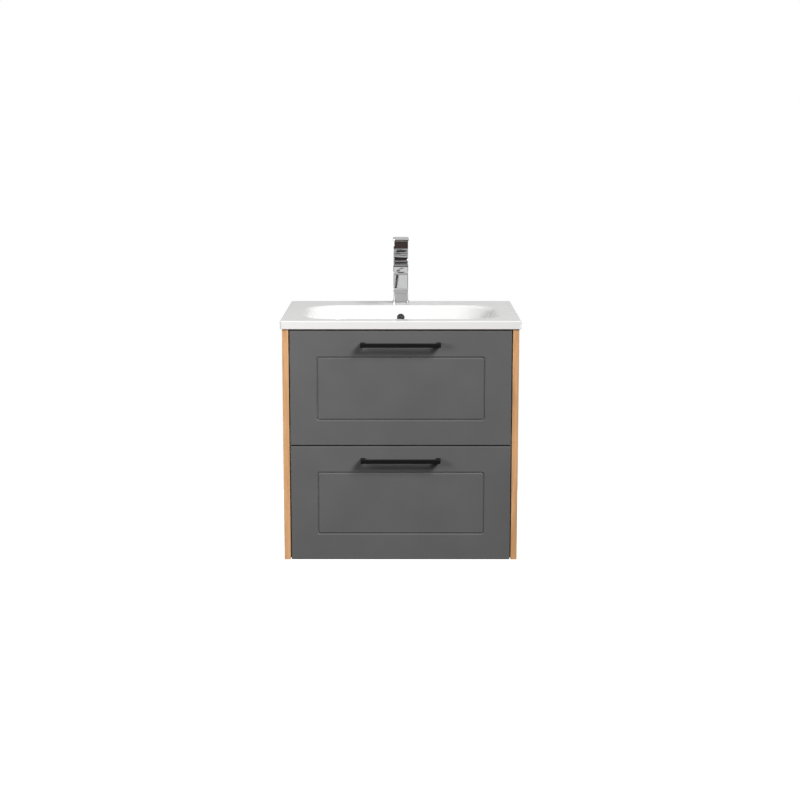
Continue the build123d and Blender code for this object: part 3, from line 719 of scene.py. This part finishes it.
for drawer in ("upper", "lower"):
    bar_low, bar_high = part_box(f"{drawer}_handle_bar")
    post_low, post_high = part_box(f"{drawer}_handle_posts")
    left_inside = post_low.x + POST_WIDTH
    right_inside = post_high.x - POST_WIDTH
    bow = [
        (bar_low.x, bar_low.y), (bar_high.x, bar_low.y), (bar_high.x, bar_high.y),
        (post_high.x, bar_high.y), (post_high.x, post_high.y), (right_inside, post_high.y),
        (right_inside, bar_high.y), (left_inside, bar_high.y), (left_inside, post_high.y),
        (post_low.x, post_high.y), (post_low.x, bar_high.y), (bar_low.x, bar_high.y),
    ]
    handle = prism(f"{drawer}_handle", bow, (bar_low.z, bar_high.z), axis="z")
    round_edges(handle, HANDLE_EDGE, 3)
    replaced = [f"{drawer}_handle_bar", f"{drawer}_handle_posts"]
    finish_piece(handle, f"{drawer}_drawer", "handle_black", replaced)

# ---------------------------------------------------------------- drawer fronts
GROOVE_HALF = 0.0032
GROOVE_DEPTH = 0.0029
GROOVE_INSET_X = 0.0695
GROOVE_INSET_TOP = 0.069
GROOVE_HEIGHT = 0.160
GROOVE_CORNER = 0.0045
FRONT_CORNER = 0.0020           # seen from the front
BACK_CORNER = 0.0008
BACK_EDGE = 0.0004
FRONT_EDGE = 0.0018
SCREW_X = 0.096
SCREW_DROP = 0.0345
SCREW_HOLE = 0.0042
SCREW_HOLE_DEPTH = 0.003
# the groove's section from its outer to its inner edge: (share of the half width, share of the depth)
GROOVE_SECTION = (
    (-1.0, 0.0), (-0.80, 0.10), (-0.20, 0.92), (0.0, 1.0), (0.20, 0.92), (0.80, 0.10), (1.0, 0.0),
)


def front_ring(half_x, half_z, radius, middle_z, y):
    """A rounded rectangle standing in a drawer front."""
    return [(x, depth, z) for x, z, depth in rounded_ring(half_x, half_z, radius, middle_z, y)]


for drawer in ("upper", "lower"):
    low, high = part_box(f"{drawer}_front")
    middle_z = (low.z + high.z) / 2
    half_x = high.x
    half_z = (high.z - low.z) / 2
    groove_x = half_x - GROOVE_INSET_X
    groove_z = high.z - GROOVE_INSET_TOP - GROOVE_HEIGHT / 2
    rings = [
        front_ring(half_x - BACK_EDGE, half_z - BACK_EDGE, BACK_CORNER, middle_z, high.y),
        front_ring(half_x, half_z, BACK_CORNER, middle_z, high.y - BACK_EDGE),
    ]
    for a in arc(6, math.pi / 2):
        inset = FRONT_EDGE * (1 - math.cos(a))
        y = low.y + FRONT_EDGE * (1 - math.sin(a))
        corner = max(BACK_CORNER, FRONT_CORNER - inset)
        rings.append(front_ring(half_x - inset, half_z - inset, corner, middle_z, y))
    for across, depth in GROOVE_SECTION:
        inset = across * GROOVE_HALF
        rings.append(front_ring(
            groove_x - inset, GROOVE_HEIGHT / 2 - inset, GROOVE_CORNER - inset, groove_z,
            low.y + depth * GROOVE_DEPTH,
        ))
    front = loft(f"{drawer}_front_foiled", rings, True, True)
    screw_z = high.z - SCREW_DROP
    for x in (-SCREW_X, SCREW_X):
        drill(front, (x, high.y - SCREW_HOLE_DEPTH, screw_z), (x, high.y + PAST, screw_z), SCREW_HOLE)
    finish_piece(front, f"{drawer}_drawer", "front_grey", [f"{drawer}_front"])

# ---------------------------------------------------------------- floor, light and camera
FLOOR_SIZE = 6.0
FLOOR_Y = 2.6                   # middle of the floor, behind the object
FLOOR_DROP = 1.2                # below the object
FLOOR_GLOW = 0.9
MIRRORED_GLOW = 0.15            # the share of the floor's glow seen in reflections
CARD_Y = -5.5                   # behind the camera
CARD_X = 0.14                   # half width
FLAG_AHEAD = 0.02               # dark cards stand this far in front of the lit ones


def studio_sheet(name, corners, colour):
    """A flat sheet of the studio, which is not part of the object, and its material."""
    mesh = bpy.data.meshes.new(name)
    mesh.from_pydata(corners, [], [tuple(range(len(corners)))])
    sheet = bpy.data.objects.new(name, mesh)
    bpy.context.scene.collection.objects.link(sheet)
    surface = Graph(name)
    surface.set(Base_Color=colour, Roughness=0.8, Emission_Color=(1.0, 1.0, 1.0, 1.0))
    mesh.materials.append(surface.material)
    return sheet, surface


def card(name, corners, glow, ahead=0.0):
    """A small card behind the camera, lit or dark, for the tap to mirror. corners are (x, z)."""
    places = [(x, CARD_Y + ahead, z) for x, z in corners]
    surface = studio_sheet(name, places, (0.02, 0.02, 0.02, 1.0))[1]
    surface.set(Emission_Strength=glow)


FLOOR_CORNERS = [
    (x * FLOOR_SIZE / 2, y * FLOOR_SIZE / 2, 0) for x, y in ((-1, -1), (1, -1), (1, 1), (-1, 1))
]
floor, floor_surface = studio_sheet("floor", FLOOR_CORNERS, (0.6, 0.6, 0.6, 1.0))
floor.location = (0, FLOOR_Y, CAD_BOX[0][2] - FLOOR_DROP)
ray = floor_surface.nodes.new("ShaderNodeLightPath")
strength = floor_surface.nodes.new("ShaderNodeMapRange")
strength.inputs["To Min"].default_value = FLOOR_GLOW
strength.inputs["To Max"].default_value = FLOOR_GLOW * MIRRORED_GLOW
floor_surface.links.new(ray.outputs["Is Glossy Ray"], strength.inputs["Value"])
floor_surface.set(Emission_Strength=strength.outputs["Result"])

card("card_low", [(-CARD_X, -0.565), (CARD_X, -0.565), (CARD_X, -0.265), (-CARD_X, -0.265)], 0.66)
card("card_middle", [(-CARD_X, -0.06), (CARD_X, -0.06), (CARD_X, 3.1), (-CARD_X, 2.1)], 0.75)
card("card_high", [(-CARD_X, 4.2), (CARD_X, 5.2), (CARD_X, 12.0), (-CARD_X, 12.0)], 0.75)
FLAGS = {
    "flag_low": [(-0.037, -0.330), (-0.008, -0.330), (-0.048, -0.480), (-0.066, -0.480)],
    "flag_tip": [(-0.036, -0.322), (-0.018, -0.322), (0.036, -0.286), (0.000, -0.286)],
    "flag_middle": [(-0.11, 0.45), (-0.02, 0.30), (0.10, 0.85), (0.06, 1.15)],
}
for name, corners in FLAGS.items():
    card(name, corners, 0.0, FLAG_AHEAD)


def softbox(name, place, size, power):
    """A square lamp aimed at the object."""
    light_data = bpy.data.lights.new(name, "AREA")
    light_data.shape = "RECTANGLE"
    light_data.size = size
    light_data.size_y = size
    light_data.energy = power
    light = bpy.data.objects.new(name, light_data)
    light.location = place
    light.rotation_euler = (Vector(CENTRE) - Vector(place)).to_track_quat("-Z", "Y").to_euler()
    bpy.context.scene.collection.objects.link(light)


CENTRE = (0.0, -0.3, -0.1)
softbox("key", (4.6, -6.3, 5.5), 3.2, 890.0)
softbox("fill_left", (-1.3, -1.7, 0.4), 0.7, 15.0)

# The object is lit by, and mirrors, a room that is pale behind it and dim behind the camera. The camera
# itself sees plain white.
TOWARDS_WALL = (0.0, 0.9, 0.4)
ROOM_END = 0.25
WALL_END = 0.92
ROOM_TONE = (0.060, 0.044, 0.040, 1.0)
WALL_TONE = (0.55, 0.55, 0.55, 1.0)

world = bpy.data.worlds.new("studio")
world.use_nodes = True
bpy.context.scene.world = world
world_nodes = world.node_tree.nodes
world_links = world.node_tree.links
seen = world_nodes["Background"]
seen.inputs["Color"].default_value = (1.0, 1.0, 1.0, 1.0)
seen.inputs["Strength"].default_value = 1.0
around = world_nodes.new("ShaderNodeBackground")
direction = world_nodes.new("ShaderNodeTexCoord")
towards_wall = world_nodes.new("ShaderNodeVectorMath")
towards_wall.operation = "DOT_PRODUCT"
towards_wall.inputs[1].default_value = TOWARDS_WALL
wall_to_room = world_nodes.new("ShaderNodeValToRGB")
wall_to_room.color_ramp.elements[0].position = ROOM_END
wall_to_room.color_ramp.elements[0].color = ROOM_TONE
wall_to_room.color_ramp.elements[1].position = WALL_END
wall_to_room.color_ramp.elements[1].color = WALL_TONE
spread = world_nodes.new("ShaderNodeMapRange")
spread.inputs["From Min"].default_value = -1.0
world_links.new(direction.outputs["Generated"], towards_wall.inputs[0])
world_links.new(towards_wall.outputs["Value"], spread.inputs["Value"])
world_links.new(spread.outputs["Result"], wall_to_room.inputs["Fac"])
world_links.new(wall_to_room.outputs["Color"], around.inputs["Color"])
around.inputs["Strength"].default_value = 1.0
path = world_nodes.new("ShaderNodeLightPath")
choose = world_nodes.new("ShaderNodeMixShader")
world_links.new(path.outputs["Is Camera Ray"], choose.inputs["Fac"])
world_links.new(around.outputs["Background"], choose.inputs[1])
world_links.new(seen.outputs["Background"], choose.inputs[2])
world_links.new(choose.outputs["Shader"], world_nodes["World Output"].inputs["Surface"])

CAMERA_PLACE = (0.0046, -4.600, 0.5934)
CAMERA_DIP = 0.1708             # radians below level
CAMERA_YAW = 0.0015
LENS = 74.44
camera_data = bpy.data.cameras.new("camera")
camera_data.sensor_width = 36.0
camera_data.lens = LENS
camera_data.clip_end = 100.0
camera = bpy.data.objects.new("camera", camera_data)
camera.location = CAMERA_PLACE
camera.rotation_euler = (math.pi / 2 - CAMERA_DIP, 0.0, CAMERA_YAW)
bpy.context.scene.collection.objects.link(camera)
bpy.context.scene.camera = camera
bpy.context.scene.view_settings.view_transform = "Standard"
